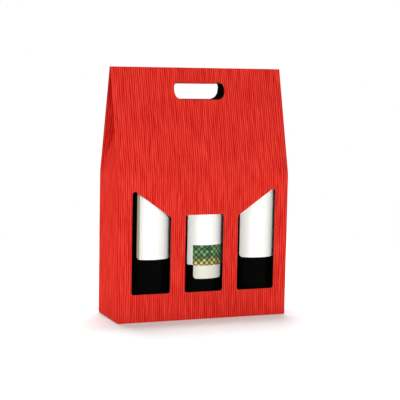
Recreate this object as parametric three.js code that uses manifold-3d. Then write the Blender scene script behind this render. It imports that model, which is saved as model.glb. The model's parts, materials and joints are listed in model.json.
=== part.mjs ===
// Gift carton for three bottles, folded from creased board: a box with three windows and a gabled
// roof, whose two slopes meet in a carrying ridge and whose ends fold in as gussets.
// Millimetres, +Z up. The origin is on the floor under the middle of the box; the windows face -Y.
import * as THREE from "three";
import { mergeVertices } from "three/addons/utils/BufferGeometryUtils.js";
import Module from "manifold-3d";

const wasm = await Module();
wasm.setup();

// Carton, measured outside
const WIDTH = 273;
const DEPTH = 93;
const SHOULDER_HEIGHT = 218;
const RIDGE_HEIGHT = 377;
const RIDGE_THICKNESS = 10;
const BOARD = 1.5;
const SLIT = 0.3; // left open between two panels that share a crease

// Windows in the front wall; the outer two have tops that rise outwards
const WINDOW_WIDTH = 61;
const WINDOW_PITCH = 84.5;
const WINDOW_SILL = 42;
const MIDDLE_WINDOW_TOP = 159;
const OUTER_WINDOW_LOW_TOP = 156;
const OUTER_WINDOW_HIGH_TOP = 199;
const WINDOW_CORNER = 4;

// Grip hole in both slopes, measured up the slope from the shoulder crease, and its flap
const GRIP_WIDTH = 81;
const GRIP_BOTTOM = 115.5;
const GRIP_TOP = 143;
const GRIP_LOWER_CORNER = 12;
const GRIP_UPPER_CORNER = 1.5;
const GRIP_FLAP_PLAY = 0.5;
const GRIP_FLAP_DROOP = THREE.MathUtils.degToRad(4); // below level, once pushed through

// Gussets
const VALLEY_TRIM = 1; // taken off each side of the crease between two gusset triangles
const GUSSET_CLEARANCE = THREE.MathUtils.degToRad(5.3); // cut from the small triangles beside the slopes
const GUSSET_TIP_HEIGHT = 18; // where the small triangles' lower points are cut off
const GUSSET_TIP_WIDTH = 2; // width left at the middle triangle's upper point

// Base flaps: the front and back ones hook into each other, the side ones lie above them
const BASE_HOOK = 12; // how far each hook passes the middle of the base
const BASE_HOOK_SLANT = 4;
const BASE_FLAP_INSET = 1;
const SIDE_FLAP_LENGTH = 86;
const SIDE_FLAP_TAPER = 3;

// Glue flap inside the back right corner
const GLUE_FLAP_WIDTH = 20;
const GLUE_FLAP_FOOT = 12;
const GLUE_FLAP_TOP = 210;
const GLUE_FLAP_TAPER = 10;

// Insert: a web against the back wall, and two partitions folded forwards from it
const PARTITION_PITCH = 84.5;
const PARTITION_HEIGHT = 190;
const PARTITION_SLANT = 40; // how far the partitions' upper front corners are cut down
const PARTITION_PLAY = 0.6;
const INSERT_SHIFT = 4.5; // how far right of the middle the loose insert stands

// Bottle, measured from its own foot
const BOTTLE_RADIUS = 38;
const BOTTLE_HEIGHT = 300;
const BOTTLE_SHOULDER = 197;
const NECK_FOOT = 232;
const NECK_RADIUS = 14.6;
const MOUTH_RADIUS = 13.8;
const BORE_RADIUS = 9.5;
const GLASS_WALL = 3.6;
const HEEL_RADIUS = 4;
const PUNT_HEIGHT = 20;
const PUNT_RADIUS = 30;
const PUNT_FULLNESS = 0.8; // how far out the hollow foot stays near its full height
const SHOULDER_REACH = 23; // how far the body's line carries on into the shoulder curve
const NECK_REACH = 20; // how far the neck's line carries on into it from above
const CORK_LENGTH = 45;
const CAPSULE_FOOT = 238;
const CAPSULE_WALL = 0.4;
const LABEL_PAPER = 0.4;
const LABEL_WRAP = THREE.MathUtils.degToRad(105);
const TONGUE_WRAP = THREE.MathUtils.degToRad(75); // a narrower lower end that one label has
const FIT = 0.3; // play between pieces of a bottle, and between a bottle and what it stands on

// How finely curves are divided
const CORNER_STEPS = 6;
const PROFILE_STEPS = 6;
const LATHE_SIDES = 28;
const LABEL_STEP = THREE.MathUtils.degToRad(7.5);

// Where each bottle stands, how far it is turned from facing front, and its label's heights above the floor
const BOTTLES = [
  { name: "left", x: -79.8, turn: 14.5, foot: 2 * (BOARD + SLIT), labelFrom: 93, labelTo: 196 },
  { name: "middle", x: 5.9, turn: 6.5, foot: BOARD + SLIT, labelFrom: 61, labelTo: 180, tongueTo: 82 },
  { name: "right", x: 93, turn: 4.5, foot: 2 * (BOARD + SLIT), labelFrom: 90, labelTo: 195 },
];
const BOTTLE_Y = -4.5;

// Sizes that follow from the ones above
const HALF_WIDTH = WIDTH / 2;
const HALF_DEPTH = DEPTH / 2;
const ROOF_RISE = RIDGE_HEIGHT - SHOULDER_HEIGHT;
const ROOF_RUN = (DEPTH - RIDGE_THICKNESS) / 2;
const SLOPE = Math.hypot(ROOF_RISE, ROOF_RUN);
const ROOF_LEAN = Math.atan2(ROOF_RUN, ROOF_RISE);
const QUARTER = Math.PI / 2;

// The small gusset triangles lie one board behind the slopes and spread a little towards the middle,
// where front and back ones meet. The middle triangle leans in as far as they reach.
const GUSSET_INSET = 1.5 * BOARD + SLIT;
const GUSSET_REACH = HALF_DEPTH - GUSSET_INSET;
const GUSSET_ROOM = (RIDGE_THICKNESS - BOARD - SLIT) / (2 * Math.cos(ROOF_LEAN));
const GUSSET_SPREAD = Math.asin((GUSSET_ROOM - GUSSET_INSET) / GUSSET_REACH);
const GUSSET_LEAN = Math.asin((GUSSET_REACH * Math.cos(GUSSET_SPREAD)) / SLOPE);

const finish = (color, roughness, metalness = 0) =>
  new THREE.MeshStandardMaterial({ color, roughness, metalness });
const PRINTED_BOARD = finish("#d62b22", 0.55);
const PLAIN_CARD = finish("#2a2624", 0.85);
const DARK_GLASS = finish("#0d110d", 0.08);
const LABEL_STOCK = finish("#f1ece0", 0.8);
const CORK_BARK = finish("#c39a66", 0.9);
const CAPSULE_FOIL = finish("#3a1014", 0.4, 0.6);

// A closed geometry as a solid that can be cut
function solidFrom(geometry) {
  geometry.deleteAttribute("normal");
  geometry.deleteAttribute("uv");
  const merged = mergeVertices(geometry);
  const vertProperties = new Float32Array(merged.attributes.position.array);
  const triVerts = new Uint32Array(merged.index.array);
  return new wasm.Manifold(new wasm.Mesh({ numProp: 3, vertProperties, triVerts }));
}

// A solid as a geometry again
function geometryFrom(solid) {
  const { vertProperties, triVerts } = solid.getMesh();
  const geometry = new THREE.BufferGeometry();
  geometry.setAttribute("position", new THREE.BufferAttribute(vertProperties, 3));
  geometry.setIndex(new THREE.BufferAttribute(triVerts, 1));
  geometry.computeVertexNormals();
  return geometry;
}

// A closed outline through corners [x, y, radius], counterclockwise, each rounded by an arc
function roundedOutline(corners, path) {
  const points = corners.map(([x, y]) => new THREE.Vector2(x, y));
  corners.forEach(([, , radius], index) => {
    const corner = points[index];
    const back = points.at(index - 1).clone().sub(corner).normalize();
    const ahead = points[(index + 1) % points.length].clone().sub(corner).normalize();
    const halfAngle = Math.acos(back.dot(ahead)) / 2;
    const bisector = back.clone().add(ahead).normalize();
    const centre = corner.clone().addScaledVector(bisector, radius / Math.sin(halfAngle));
    const run = radius / Math.tan(halfAngle);
    const from = corner.clone().addScaledVector(back, run).sub(centre).angle();
    const to = corner.clone().addScaledVector(ahead, run).sub(centre).angle();
    path.absarc(centre.x, centre.y, radius, from, to, false);
  });
  path.closePath();
  return path;
}

// A flat plate of board with its printed face at z = 0 and its thickness behind that
function plate(outline) {
  const settings = { depth: BOARD, bevelEnabled: false, curveSegments: CORNER_STEPS };
  return new THREE.ExtrudeGeometry(outline, settings).translate(0, 0, -BOARD);
}

// The block beyond a creased edge, mitred by half the fold so that two panels meet face to face
function beyondCrease(start, end, fold) {
  const size = 8 * BOARD;
  const along = end.clone().sub(start);
  const length = along.length();
  along.normalize();
  const inwards = new THREE.Vector3(-along.y, along.x, 0);
  const away = inwards.clone().multiplyScalar(-Math.cos(fold / 2));
  away.z = -Math.sin(fold / 2);
  const middle = start.clone().add(end).multiplyScalar(0.5);
  middle.addScaledVector(inwards, SLIT / 2).addScaledVector(away, size / 2);
  const across = new THREE.Vector3().crossVectors(along, away);
  const block = new THREE.BoxGeometry(length + size, size, size);
  return block.applyMatrix4(new THREE.Matrix4().makeBasis(along, away, across).setPosition(middle));
}

// A panel through corners [x, y, fold], counterclockwise seen from its printed side. The fold is that of
// the crease from this corner to the next, and a corner without one starts a cut edge.
function panel(corners, holes = []) {
  const outline = new THREE.Shape(corners.map(([x, y]) => new THREE.Vector2(x, y)));
  outline.holes.push(...holes);
  const points = corners.map(([x, y]) => new THREE.Vector3(x, y, 0));
  let body = solidFrom(plate(outline));
  corners.forEach(([, , fold], index) => {
    if (fold === undefined) return;
    const next = points[(index + 1) % points.length];
    body = body.subtract(solidFrom(beyondCrease(points[index], next, fold)));
  });
  return geometryFrom(body);
}

// The left-handed copy of a geometry, with its faces still pointing out
function mirrored(geometry) {
  geometry.scale(-1, 1, 1);
  const index = geometry.index.array;
  for (let i = 0; i < index.length; i += 3) {
    [index[i + 1], index[i + 2]] = [index[i + 2], index[i + 1]];
  }
  geometry.computeVertexNormals();
  return geometry;
}

function piece(name, geometry, material) {
  const mesh = new THREE.Mesh(geometry, material);
  mesh.name = name;
  return mesh;
}

// A frame for a wall: x along the wall, y up it, z out through its printed face
function wallFrame(turn, reach) {
  const frame = new THREE.Group();
  frame.rotation.set(QUARTER, 0, turn, "ZYX");
  frame.position.set(reach * Math.sin(turn), -reach * Math.cos(turn), 0);
  return frame;
}

// A frame for what is folded from another panel, about a crease along x or along y
function foldFrame(x, y, aboutX, aboutY = 0) {
  const frame = new THREE.Group();
  frame.position.set(x, y, 0);
  frame.rotation.set(aboutX, aboutY, 0);
  return frame;
}

function windows() {
  const half = WINDOW_WIDTH / 2;
  const middle = [
    [-half, WINDOW_SILL, WINDOW_CORNER],
    [half, WINDOW_SILL, WINDOW_CORNER],
    [half, MIDDLE_WINDOW_TOP, WINDOW_CORNER],
    [-half, MIDDLE_WINDOW_TOP, WINDOW_CORNER],
  ];
  const left = [
    [-WINDOW_PITCH - half, WINDOW_SILL, WINDOW_CORNER],
    [-WINDOW_PITCH + half, WINDOW_SILL, WINDOW_CORNER],
    [-WINDOW_PITCH + half, OUTER_WINDOW_LOW_TOP, WINDOW_CORNER],
    [-WINDOW_PITCH - half, OUTER_WINDOW_HIGH_TOP, WINDOW_CORNER],
  ];
  const right = left.map(([x, y, radius]) => [-x, y, radius]).reverse();
  return [left, middle, right].map((corners) => roundedOutline(corners, new THREE.Path()));
}

function gripOutline(inset, path) {
  const half = GRIP_WIDTH / 2 - inset;
  const corners = [
    [-half, GRIP_BOTTOM + inset, GRIP_LOWER_CORNER],
    [half, GRIP_BOTTOM + inset, GRIP_LOWER_CORNER],
    [half, GRIP_TOP - inset, GRIP_UPPER_CORNER],
    [-half, GRIP_TOP - inset, GRIP_UPPER_CORNER],
  ];
  return roundedOutline(corners, path);
}

// Walls of the sleeve. The glue flap makes the right wall one board shorter at the back, where the back
// wall's cut edge covers it.
function frontWall() {
  const corners = [
    [-HALF_WIDTH, 0, QUARTER],
    [HALF_WIDTH, 0, QUARTER],
    [HALF_WIDTH, SHOULDER_HEIGHT, ROOF_LEAN],
    [-HALF_WIDTH, SHOULDER_HEIGHT, QUARTER],
  ];
  return panel(corners, windows());
}

function backWall() {
  return panel([
    [-HALF_WIDTH, 0, QUARTER],
    [HALF_WIDTH, 0, QUARTER],
    [HALF_WIDTH, SHOULDER_HEIGHT, ROOF_LEAN],
    [-HALF_WIDTH, SHOULDER_HEIGHT],
  ]);
}

function sideWall(from, to) {
  const foot = BOARD + SLIT;
  return panel([
    [from, foot, QUARTER],
    [to, foot, QUARTER],
    [to, SHOULDER_HEIGHT, GUSSET_LEAN],
    [from, SHOULDER_HEIGHT, QUARTER],
  ]);
}

function glueFlap() {
  return panel([
    [0, GLUE_FLAP_FOOT],
    [GLUE_FLAP_WIDTH, GLUE_FLAP_FOOT + GLUE_FLAP_TAPER],
    [GLUE_FLAP_WIDTH, GLUE_FLAP_TOP - GLUE_FLAP_TAPER],
    [0, GLUE_FLAP_TOP, QUARTER],
  ]);
}

function roofSlope() {
  const corners = [
    [-HALF_WIDTH, 0, ROOF_LEAN],
    [HALF_WIDTH, 0],
    [HALF_WIDTH, SLOPE],
    [-HALF_WIDTH, SLOPE],
  ];
  return panel(corners, [gripOutline(0, new THREE.Path())]);
}

// The flap hangs from y = 0 at the top of the grip hole, its inner face at z = 0
function gripFlap() {
  const flap = plate(gripOutline(GRIP_FLAP_PLAY, new THREE.Shape()));
  return flap.translate(0, -GRIP_TOP, BOARD);
}

function middleGusset() {
  const foot = GUSSET_REACH - VALLEY_TRIM;
  const tip = GUSSET_TIP_WIDTH / 2;
  const height = SLOPE * (1 - (VALLEY_TRIM + tip) / GUSSET_REACH);
  return panel([
    [-foot, 0, GUSSET_LEAN],
    [foot, 0],
    [tip, height],
    [-tip, height],
  ]);
}

// A small triangle beside the middle one, its fold line along y at x = 0, with the board about z = 0.
// Its outer edge is cut back from the fold line, so that it passes the slope's edge as the roof opens.
function smallGusset() {
  const valley = GUSSET_REACH / SLOPE;
  const outer = Math.tan(GUSSET_CLEARANCE);
  const triangle = panel([
    [outer * GUSSET_TIP_HEIGHT, GUSSET_TIP_HEIGHT],
    [valley * GUSSET_TIP_HEIGHT - VALLEY_TRIM, GUSSET_TIP_HEIGHT],
    [GUSSET_REACH - VALLEY_TRIM, SLOPE],
    [outer * SLOPE, SLOPE],
  ]);
  return triangle.translate(0, 0, BOARD / 2);
}

function hookedBaseFlap() {
  const end = HALF_WIDTH - BASE_FLAP_INSET;
  const reach = HALF_DEPTH - SLIT / 2;
  const shift = SLIT / 2;
  return panel([
    [-end, -reach - BASE_HOOK],
    [-BASE_HOOK_SLANT - shift, -reach - BASE_HOOK],
    [BASE_HOOK_SLANT - shift, -reach + BASE_HOOK],
    [end, -reach + BASE_HOOK],
    [end, 0, QUARTER],
    [-end, 0],
  ]);
}

function sideBaseFlap() {
  const half = HALF_DEPTH - BOARD - BASE_FLAP_INSET;
  return panel([
    [-half + SIDE_FLAP_TAPER, -SIDE_FLAP_LENGTH],
    [half - SIDE_FLAP_TAPER, -SIDE_FLAP_LENGTH],
    [half, 0, QUARTER],
    [-half, 0],
  ]);
}

function insertWeb() {
  const half = PARTITION_PITCH / 2 + BOARD / 2;
  const foot = BOARD + SLIT;
  return panel([
    [-half, foot],
    [half, foot, QUARTER],
    [half, PARTITION_HEIGHT],
    [-half, PARTITION_HEIGHT, QUARTER],
  ]);
}

// A partition, folded from the web's edge at x = 0 and reaching along x to the front wall
function partition() {
  const length = DEPTH - 2 * BOARD - SLIT - PARTITION_PLAY;
  const foot = BOARD + SLIT;
  return panel([
    [0, foot],
    [length, foot],
    [length, PARTITION_HEIGHT - PARTITION_SLANT],
    [length - PARTITION_SLANT, PARTITION_HEIGHT],
    [0, PARTITION_HEIGHT, QUARTER],
  ]);
}

// A body of revolution about z from a profile of radius and height
function turned(profile) {
  const body = new THREE.LatheGeometry(profile.getPoints(PROFILE_STEPS), LATHE_SIDES);
  return body.rotateX(QUARTER);
}

function bottleGlass() {
  const inside = BOTTLE_RADIUS - GLASS_WALL;
  const floor = PUNT_HEIGHT + GLASS_WALL;
  const shoulderCurve = BOTTLE_SHOULDER + SHOULDER_REACH;
  const neckCurve = NECK_FOOT - NECK_REACH;
  const profile = new THREE.Path();
  profile.moveTo(0, PUNT_HEIGHT);
  profile.quadraticCurveTo(PUNT_FULLNESS * PUNT_RADIUS, PUNT_HEIGHT, PUNT_RADIUS, 0);
  profile.lineTo(BOTTLE_RADIUS - HEEL_RADIUS, 0);
  profile.absarc(BOTTLE_RADIUS - HEEL_RADIUS, HEEL_RADIUS, HEEL_RADIUS, -QUARTER, 0, false);
  profile.lineTo(BOTTLE_RADIUS, BOTTLE_SHOULDER);
  profile.bezierCurveTo(BOTTLE_RADIUS, shoulderCurve, NECK_RADIUS, neckCurve, NECK_RADIUS, NECK_FOOT);
  profile.lineTo(MOUTH_RADIUS, BOTTLE_HEIGHT);
  profile.lineTo(BORE_RADIUS, BOTTLE_HEIGHT);
  profile.lineTo(BORE_RADIUS, NECK_FOOT);
  profile.bezierCurveTo(
    BORE_RADIUS,
    neckCurve - GLASS_WALL,
    inside,
    shoulderCurve - GLASS_WALL,
    inside,
    BOTTLE_SHOULDER - GLASS_WALL,
  );
  profile.lineTo(inside, floor / 2);
  profile.quadraticCurveTo(PUNT_FULLNESS * inside, floor, 0, floor);
  return turned(profile);
}

function cork() {
  const radius = BORE_RADIUS - FIT;
  const profile = new THREE.Path();
  profile.moveTo(0, BOTTLE_HEIGHT - CORK_LENGTH);
  profile.lineTo(radius, BOTTLE_HEIGHT - CORK_LENGTH);
  profile.lineTo(radius, BOTTLE_HEIGHT);
  profile.lineTo(0, BOTTLE_HEIGHT);
  return turned(profile);
}

// A foil cap over the neck, with the neck's taper and a closed top
function capsule() {
  const taper = (NECK_RADIUS - MOUTH_RADIUS) / (BOTTLE_HEIGHT - NECK_FOOT);
  const foot = NECK_RADIUS - taper * (CAPSULE_FOOT - NECK_FOOT) + FIT;
  const crown = MOUTH_RADIUS + FIT;
  const ceiling = BOTTLE_HEIGHT + FIT;
  const profile = new THREE.Path();
  profile.moveTo(0, ceiling);
  profile.lineTo(crown, ceiling);
  profile.lineTo(foot, CAPSULE_FOOT);
  profile.lineTo(foot + CAPSULE_WALL, CAPSULE_FOOT);
  profile.lineTo(crown + CAPSULE_WALL, ceiling);
  profile.lineTo(crown, ceiling + CAPSULE_WALL);
  profile.lineTo(0, ceiling + CAPSULE_WALL);
  return turned(profile);
}

// Label paper between two heights, wrapped round the front of the bottle
function wrappedPaper(from, to, wrap) {
  const inner = BOTTLE_RADIUS + FIT;
  const start = -QUARTER - wrap / 2;
  const end = -QUARTER + wrap / 2;
  const section = new THREE.Shape();
  section.absarc(0, 0, inner + LABEL_PAPER, start, end, false);
  section.absarc(0, 0, inner, end, start, true);
  const curveSegments = Math.round(wrap / LABEL_STEP / 2);
  const settings = { depth: to - from, bevelEnabled: false, curveSegments };
  return new THREE.ExtrudeGeometry(section, settings).translate(0, 0, from);
}

// A label, narrower in a tongue at its lower end if it has one
function label(from, to, tongueTo) {
  if (tongueTo === undefined) return wrappedPaper(from, to, LABEL_WRAP);
  const upper = solidFrom(wrappedPaper(tongueTo, to, LABEL_WRAP));
  const tongue = solidFrom(wrappedPaper(from, tongueTo, TONGUE_WRAP));
  return geometryFrom(upper.add(tongue));
}

function bottle({ name, x, turn, foot, labelFrom, labelTo, tongueTo }) {
  const group = new THREE.Group();
  group.position.set(x, BOTTLE_Y, foot);
  group.rotation.z = THREE.MathUtils.degToRad(turn);
  group.add(piece(`${name}_bottle_glass`, bottleGlass(), DARK_GLASS));
  const paper = label(labelFrom, labelTo, tongueTo).translate(0, 0, -foot);
  group.add(piece(`${name}_bottle_label`, paper, LABEL_STOCK));
  group.add(piece(`${name}_bottle_cork`, cork(), CORK_BARK));
  group.add(piece(`${name}_bottle_capsule`, capsule(), CAPSULE_FOIL));
  return group;
}

// A front or back wall with its slope, its base flap and the two gusset triangles behind the slope
function longWall(name, turn, wall, gussetOnLeft, gussetOnRight) {
  const frame = wallFrame(turn, HALF_DEPTH);
  frame.add(piece(`${name}_wall`, wall, PRINTED_BOARD));

  const baseFold = foldFrame(0, 0, QUARTER);
  baseFold.add(piece(`${name}_base_flap`, hookedBaseFlap(), PRINTED_BOARD));
  frame.add(baseFold);

  const roofFold = foldFrame(0, SHOULDER_HEIGHT, -ROOF_LEAN);
  roofFold.add(piece(`${name}_roof_slope`, roofSlope(), PRINTED_BOARD));
  for (const [gusset, side] of [[gussetOnLeft, -1], [gussetOnRight, 1]]) {
    const fold = foldFrame(side * (HALF_WIDTH - BOARD / 2), 0, 0, -side * GUSSET_SPREAD);
    fold.position.z = -GUSSET_INSET;
    const triangle = piece(gusset, smallGusset(), PRINTED_BOARD);
    triangle.rotation.y = side > 0 ? Math.PI : 0;
    fold.add(triangle);
    roofFold.add(fold);
  }
  frame.add(roofFold);
  return { frame, roofFold };
}

// A side wall with its base flap and the middle triangle of its gusset
function shortWall(name, turn, wall) {
  const frame = wallFrame(turn, HALF_WIDTH);
  frame.add(piece(`${name}_wall`, wall, PRINTED_BOARD));

  const baseFold = foldFrame(0, BOARD + SLIT, QUARTER);
  baseFold.add(piece(`${name}_base_flap`, sideBaseFlap(), PRINTED_BOARD));
  frame.add(baseFold);

  const gussetFold = foldFrame(0, SHOULDER_HEIGHT, -GUSSET_LEAN);
  gussetFold.add(piece(`${name}_gusset_middle`, middleGusset(), PRINTED_BOARD));
  frame.add(gussetFold);
  return frame;
}

function carton() {
  const group = new THREE.Group();
  const front = longWall("front", 0, frontWall(), "left_gusset_front", "right_gusset_front");
  const back = longWall("back", Math.PI, backWall(), "right_gusset_back", "left_gusset_back");

  const gripFold = foldFrame(0, GRIP_TOP, QUARTER + ROOF_LEAN - GRIP_FLAP_DROOP);
  gripFold.position.z = -BOARD;
  gripFold.add(piece("grip_flap", gripFlap(), PRINTED_BOARD));
  front.roofFold.add(gripFold);

  const glueCrease = HALF_DEPTH - BOARD - SLIT;
  const left = shortWall("left", -QUARTER, sideWall(-HALF_DEPTH, HALF_DEPTH));
  const right = shortWall("right", QUARTER, sideWall(-HALF_DEPTH, glueCrease));
  const glueFold = foldFrame(glueCrease, 0, 0, QUARTER);
  glueFold.add(piece("glue_flap", glueFlap(), PRINTED_BOARD));
  right.add(glueFold);

  group.add(front.frame, back.frame, left, right);
  return group;
}

function insert() {
  const frame = wallFrame(Math.PI, HALF_DEPTH - BOARD - SLIT);
  frame.position.x = INSERT_SHIFT;
  frame.add(piece("insert_web", insertWeb(), PLAIN_CARD));
  for (const [name, side] of [["left", 1], ["right", -1]]) {
    const fold = foldFrame(side * (PARTITION_PITCH / 2 + BOARD / 2), 0, 0, side * QUARTER);
    const wall = side > 0 ? partition() : mirrored(partition());
    fold.add(piece(`${name}_partition`, wall, PLAIN_CARD));
    frame.add(fold);
  }
  return frame;
}

const giftBox = new THREE.Group();
giftBox.add(carton(), insert(), ...BOTTLES.map(bottle));

export default giftBox;
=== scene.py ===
"""Gift carton for three bottles: creased board with a red silk-lined print, dark bottles with paper labels.

Sizes are millimetres in the frame's axes; meshes are turned into metres as they are made.
"""
import json
import math

import bpy
from mathutils import Matrix, Vector
from mathutils.geometry import delaunay_2d_cdt


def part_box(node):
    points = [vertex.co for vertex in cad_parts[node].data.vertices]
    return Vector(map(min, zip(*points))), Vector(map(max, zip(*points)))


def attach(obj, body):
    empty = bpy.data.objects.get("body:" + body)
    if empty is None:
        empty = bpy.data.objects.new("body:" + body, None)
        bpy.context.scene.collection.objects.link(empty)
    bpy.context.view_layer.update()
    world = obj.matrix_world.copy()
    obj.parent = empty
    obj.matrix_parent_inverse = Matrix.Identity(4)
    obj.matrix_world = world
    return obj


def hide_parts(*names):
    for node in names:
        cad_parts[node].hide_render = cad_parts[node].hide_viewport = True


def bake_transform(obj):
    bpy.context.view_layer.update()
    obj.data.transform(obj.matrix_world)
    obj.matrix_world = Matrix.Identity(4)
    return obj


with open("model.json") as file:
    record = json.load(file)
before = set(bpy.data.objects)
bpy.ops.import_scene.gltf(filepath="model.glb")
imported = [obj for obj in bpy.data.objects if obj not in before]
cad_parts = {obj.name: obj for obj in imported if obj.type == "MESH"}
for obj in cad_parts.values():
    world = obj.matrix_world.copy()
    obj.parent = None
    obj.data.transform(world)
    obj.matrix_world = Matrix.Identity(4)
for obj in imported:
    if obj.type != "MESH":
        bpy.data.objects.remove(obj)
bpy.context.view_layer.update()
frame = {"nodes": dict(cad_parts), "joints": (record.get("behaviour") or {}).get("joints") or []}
MM = 0.001
QUARTER = math.pi / 2  # a quarter turn

# Carton, from the frame
JOINTS = {joint["name"]: joint for joint in frame["joints"]}
HALF_WIDTH = JOINTS["right_gusset_fold"]["pos_m"][0] / MM
HALF_DEPTH = -JOINTS["roof_opening"]["pos_m"][1] / MM
SHOULDER = JOINTS["roof_opening"]["pos_m"][2] / MM
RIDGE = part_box("front_roof_slope")[1].z / MM
ROOF_LEAN = math.radians(JOINTS["roof_opening"]["range_deg"][1])
GUSSET_LEAN = math.radians(JOINTS["right_gusset_fold"]["range_deg"][1])
SLOPE = (RIDGE - SHOULDER) / math.cos(ROOF_LEAN)

# Board
BOARD = 1.5
SLIT = 0.3  # left open between panels that lie against each other
SKIN = 0.25  # the paper on each face of the fluted core
CORE_RECESS = 0.35  # how far the core lies behind a cut edge
FLUTE_PITCH = 3.2
FOLD_RADIUS = 1.75  # outside radius of a crease
FOLD_END = FOLD_RADIUS * (1 - QUARTER / 2)  # where half a right-angled fold ends, before its crease line
FOLD_LIP = FOLD_RADIUS * (QUARTER - 1)  # where a whole one ends, beyond that line
FOLD_STEPS = 4
SHOULDER_BEND = 18.0  # half the length of the soft bend at the shoulder, in the middle of a long wall
GUSSET_BEND = 10.0  # and in the middle of a side wall
CORNER_BEND = 3.0  # and at the corners, where four creases meet
CORNER_GAP = 1.0  # left open above such a corner
HALF_BEND_ROWS = (0.08, 0.16, 0.28, 0.44, 0.67, 1)  # faces from the middle of a bend to its end
BEND_ROWS = (*[-row for row in reversed(HALF_BEND_ROWS)], 0, *HALF_BEND_ROWS)
BEND_COLUMNS = 20
CORNER_STEPS = 8  # faces round a corner of an outline
CUT_PAST = 1.0  # how far a cut through the faces runs past the outline
SAME_POINT = 1e-4  # points that are nearer than this are one
ON_EDGE = 0.01  # a point that is nearer than this to an edge lies on it
SHARP_FOLD = math.radians(30)  # edges of a sheet that turn more than this are not smoothed
SHARP_TURN = math.radians(40)  # and those of a turned piece

# Windows and grip hole
WINDOW_WIDTH = 61.0
WINDOW_PITCH = 84.5
WINDOW_SILL = 42.0
MIDDLE_WINDOW_TOP = 159.0
OUTER_WINDOW_LOW_TOP = 156.0
OUTER_WINDOW_HIGH_TOP = 199.0
WINDOW_CORNER = 4.0
GRIP_WIDTH = 81.0
GRIP_BOTTOM = 115.5
GRIP_TOP = 143.0
GRIP_LOWER_CORNER = 12.0
GRIP_UPPER_CORNER = 10.0
GRIP_TAB_CORNER = 16.0
GRIP_FLAP_PLAY = 0.5
GRIP_FLAP_DROOP = math.radians(4)

# Gussets
RIDGE_THICKNESS = 10.0
GUSSET_INSET = 1.5 * BOARD + SLIT
GUSSET_REACH = HALF_DEPTH - GUSSET_INSET
GUSSET_ROOM = (RIDGE_THICKNESS - BOARD - SLIT) / (2 * math.cos(ROOF_LEAN))
GUSSET_SPREAD = math.asin((GUSSET_ROOM - GUSSET_INSET) / GUSSET_REACH)
VALLEY_GAP = 0.03  # from each side of a valley crease to its middle
GUSSET_TIP = (BOARD + SLIT) / 2 - VALLEY_GAP  # half the width where the valley creases reach the ridge

# Base flaps, glue flap and insert
BASE_HOOK = 12.0
BASE_HOOK_SLANT = 4.0
BASE_FLAP_INSET = 1.0
HOOKED_FLAP_INSET = 1.8
SIDE_FLAP_LENGTH = 86.0
SIDE_FLAP_TAPER = 3.0
SIDE_FOOT = BOARD + SLIT
SIDE_WALL_FOOT = 0.7  # the crease bulges below the flap that it carries
GLUE_FLAP_WIDTH = 20.0
GLUE_FLAP_FOOT = 12.0
GLUE_FLAP_TOP = 210.0
GLUE_FLAP_TAPER = 10.0
GLUE_CREASE = HALF_DEPTH - BOARD - SLIT
PARTITION_PITCH = 84.5
PARTITION_HEIGHT = 190.0
PARTITION_SLANT = 40.0
PARTITION_PLAY = 0.6
INSERT_SHIFT = 4.5

# Bottles
BOTTLE_RADIUS = 38.0
BOTTLE_HEIGHT = 300.0
BOTTLE_SHOULDER = 197.0
SHOULDER_REACH = 23.0
NECK_FOOT = 232.0
NECK_REACH = 20.0
NECK_RADIUS = 14.6
MOUTH_RADIUS = 13.8
BORE_RADIUS = 9.5
GLASS_WALL = 3.6
HEEL_RADIUS = 4.0
HEEL_STEPS = 8
WALL_RINGS = (60.0, 120.0)  # on the straight wall
PUNT_HEIGHT = 20.0
PUNT_RADIUS = 30.0
PUNT_FULLNESS = 0.8
CAPSULE_FOOT = 238.0
CAPSULE_WALL = 0.4
CAPSULE_PLAY = 0.3
CAPSULE_BEAD = 0.2
CAPSULE_BEADS = (
    # share of the height and of the bead: a rolled foot, two tear-band grooves, a ring under the crown
    (0.0, 1), (0.012, 1), (0.03, 0),
    (0.66, 0), (0.675, -1), (0.69, 0),
    (0.77, 0), (0.785, -1), (0.80, 0),
    (0.95, 0), (0.97, 1), (0.985, 0.6),
)
CROWN_DROP = 0.1  # of the crown's outer edge
CROWN_BEVEL = 1.2  # how far in from that edge its flat rim starts
CROWN_RIM = 2.2  # and where the rim ends
CROWN_DISH = 2.6  # and where the dished middle starts
CROWN_DISH_DEPTH = 0.15
LABEL_LIFT = 0.1
LABEL_PAPER = 0.25
LABEL_WRAP = math.radians(105)
TONGUE_WRAP = math.radians(75)
LABEL_CORNER = 5.0
TONGUE_CORNER = 2.0
LABEL_STEP = 1.5  # along the curve
LATHE_SIDES = 96
BOTTLES = (
    # name, turn in degrees, label from and to, top of its tongue
    ("left", 14.5, 93.0, 196.0, None),
    ("middle", 6.5, 61.0, 180.0, 82.0),
    ("right", 4.5, 90.0, 195.0, None),
)

# Prints
THREAD_PITCH = 3.3  # real threads, about 1 mm apart, are too fine to show, so they are drawn this coarse
THREAD_LENGTH = 40.0  # over which a thread swells and thins
THREAD_SWELL = 1.8  # how much that counts beside the thread's own ridge
THREAD_TONES = (0.9, 1.9)  # where swell and ridge together are darkest and lightest
THREAD_STEP = 7.31  # from thread to thread through the noise, so that each swells by itself
THREAD_CROWDING = 9.0  # over which threads lie closer or wider
CROWDING_SHIFT = 1.0  # how far that shifts them at most, in half threads
THREAD_RELIEF = 0.05
PRINT_DRIFT = 70.0  # over which the tone of the print drifts
FIBRE = 2.0  # single fibres of paper are too fine to show, so clumps of them are drawn this coarse
PAPER_RELIEF = 0.03
PANEL_LOW = 81.0  # printed panel on the middle label
PANEL_HIGH = 112.0
PANEL_HALF = 26.0
PANEL_RULE = 0.8
LOZENGE = 6.0
INK_CHANGE = (1.0, 2.5)  # lozenges up the panel where ochre starts and ends turning green
SIDE_BAND = 4.0
GLASS_SWELL = 25.0  # over which moulded glass is uneven
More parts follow.
